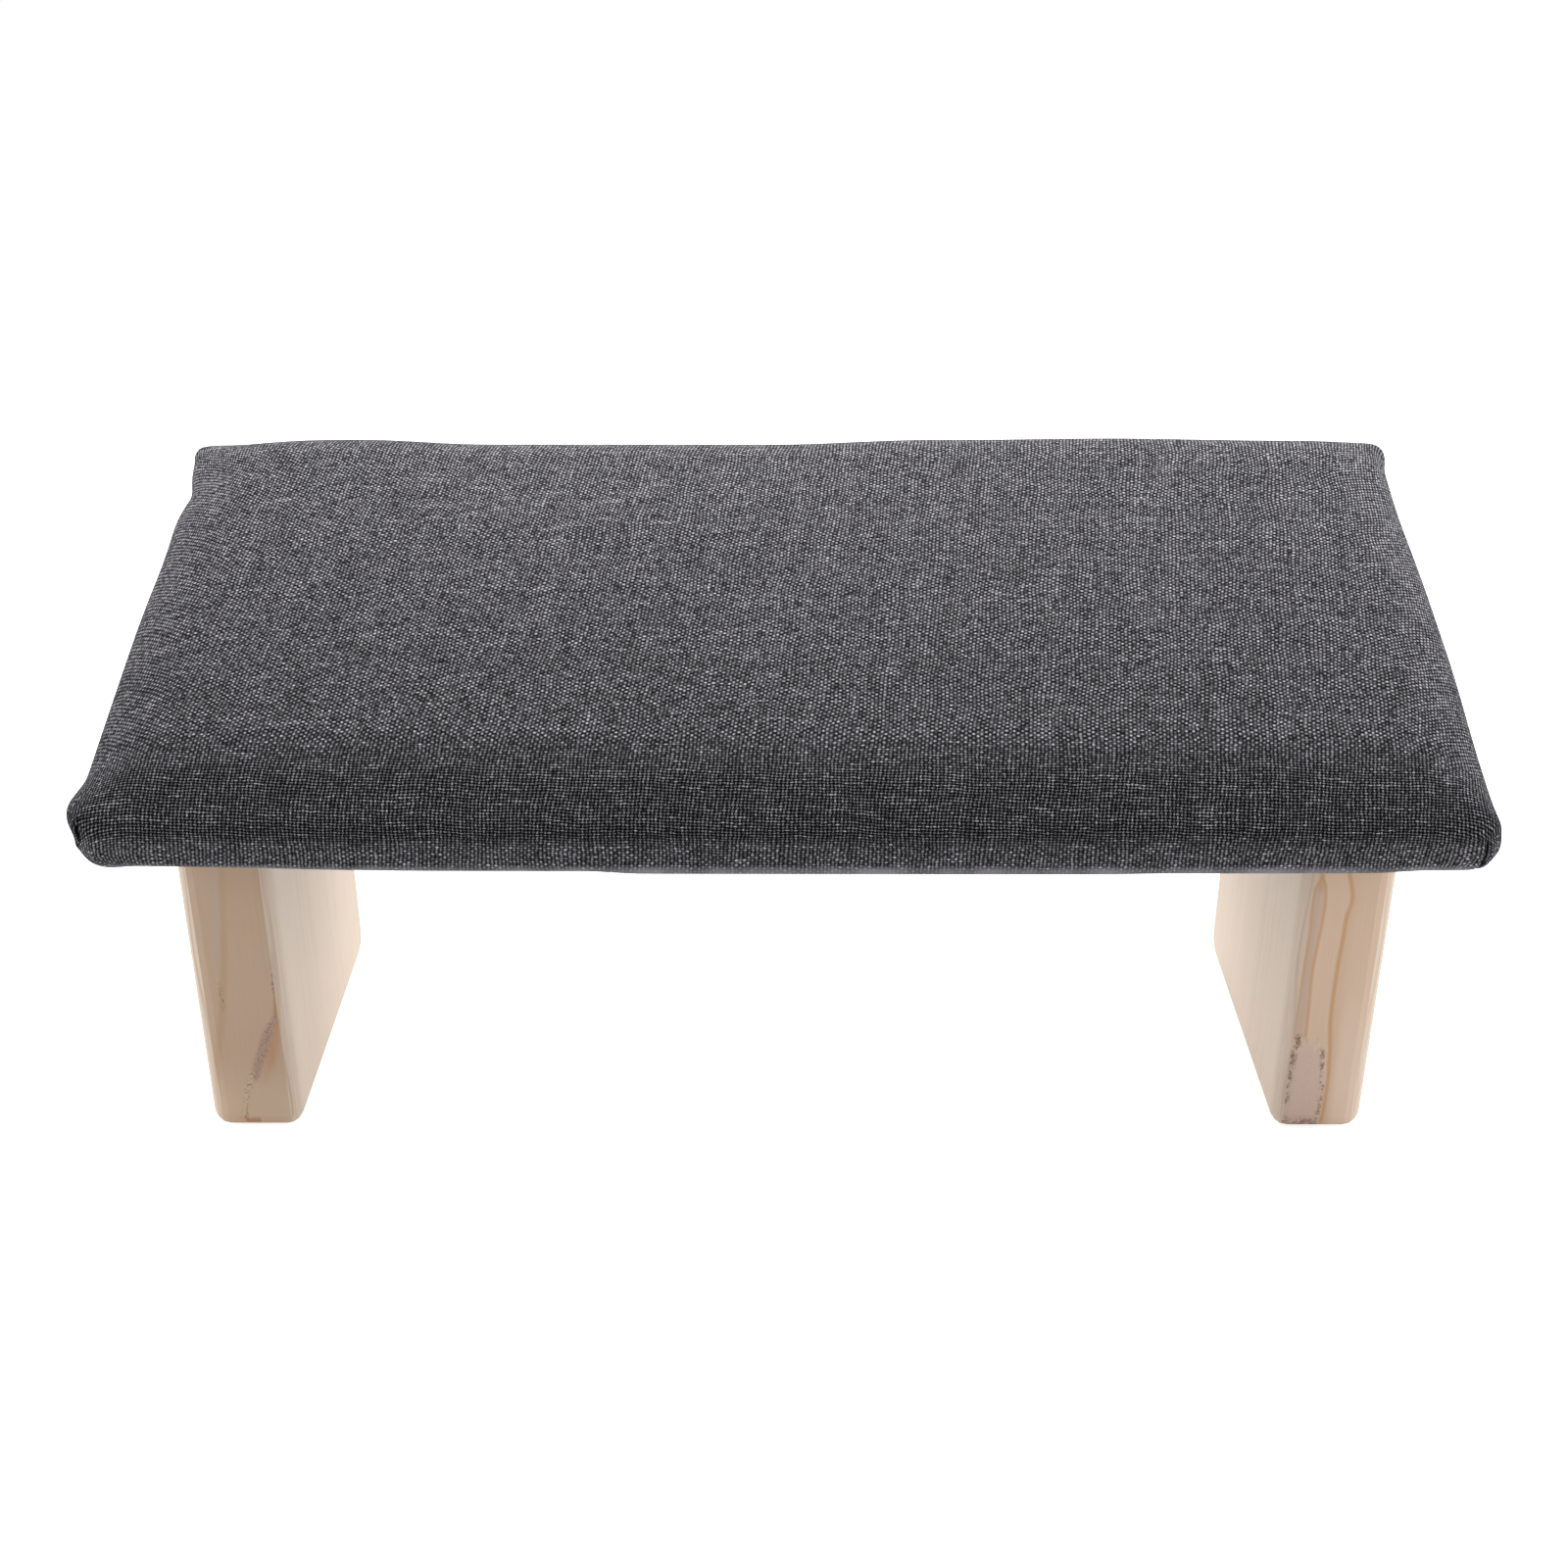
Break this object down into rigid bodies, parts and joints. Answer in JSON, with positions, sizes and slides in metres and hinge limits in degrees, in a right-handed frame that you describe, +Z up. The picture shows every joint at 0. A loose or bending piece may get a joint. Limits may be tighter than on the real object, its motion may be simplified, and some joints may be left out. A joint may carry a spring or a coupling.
{
  "type": "folding meditation bench",
  "caption": "Low folding meditation bench: a padded, cloth-covered seat that slopes forwards on wooden plank legs, which fold inwards under it on butt hinges.",
  "frame": {"origin": "on the floor, under the middle of the bench's box", "axes": "+X to the sitter's right, along the seat's width; +Y to the back, where the seat is high; +Z up"},
  "size_m": [0.42, 0.2206, 0.1926],
  "materials": {
    "linen_look_cloth": "matt, coarse plain weave",
    "foam": "open-cell foam",
    "plywood": "sanded",
    "dust_cloth": "matt non-woven",
    "pine": "planed, unvarnished",
    "zinc_steel": "satin zinc",
    "staple_steel": "bright wire"
  },
  "bodies": {
    "seat": {"fabric_cover": "linen_look_cloth", "foam_pad": "foam", "seat_board": "plywood", "dust_cover": "dust_cloth", "left_front_hinge_seat_leaf": "zinc_steel", "left_back_hinge_seat_leaf": "zinc_steel", "right_front_hinge_seat_leaf": "zinc_steel", "right_back_hinge_seat_leaf": "zinc_steel", "left_front_hinge_pin": "zinc_steel", "left_back_hinge_pin": "zinc_steel", "right_front_hinge_pin": "zinc_steel", "right_back_hinge_pin": "zinc_steel", "seat_screw_1": "zinc_steel", "seat_screw_2": "zinc_steel", "seat_screw_3": "zinc_steel", "seat_screw_4": "zinc_steel", "seat_screw_5": "zinc_steel", "seat_screw_6": "zinc_steel", "seat_screw_7": "zinc_steel", "seat_screw_8": "zinc_steel", "staple_1": "staple_steel", "staple_2": "staple_steel", "staple_3": "staple_steel", "staple_4": "staple_steel", "staple_5": "staple_steel", "staple_6": "staple_steel", "staple_7": "staple_steel", "staple_8": "staple_steel", "staple_9": "staple_steel", "staple_10": "staple_steel", "staple_11": "staple_steel", "staple_12": "staple_steel"},
    "left_leg": {"left_leg": "pine", "left_front_hinge_leg_leaf": "zinc_steel", "left_back_hinge_leg_leaf": "zinc_steel", "left_leg_screw_1": "zinc_steel", "left_leg_screw_2": "zinc_steel", "left_leg_screw_3": "zinc_steel", "left_leg_screw_4": "zinc_steel"},
    "right_leg": {"right_leg": "pine", "right_front_hinge_leg_leaf": "zinc_steel", "right_back_hinge_leg_leaf": "zinc_steel", "right_leg_screw_1": "zinc_steel", "right_leg_screw_2": "zinc_steel", "right_leg_screw_3": "zinc_steel", "right_leg_screw_4": "zinc_steel"}
  },
  "joints": [
    {"name": "left_leg_fold", "type": "hinge", "parent": "seat", "child": "left_leg", "pos_m": [-0.1537, 0.00356, 0.13447], "axis": [0, -0.9641, -0.2656], "range_deg": [0, 90]},
    {"name": "right_leg_fold", "type": "hinge", "parent": "seat", "child": "right_leg", "pos_m": [0.1537, 0.00356, 0.13447], "axis": [0, 0.9641, 0.2656], "range_deg": [0, 90]}
  ]
}
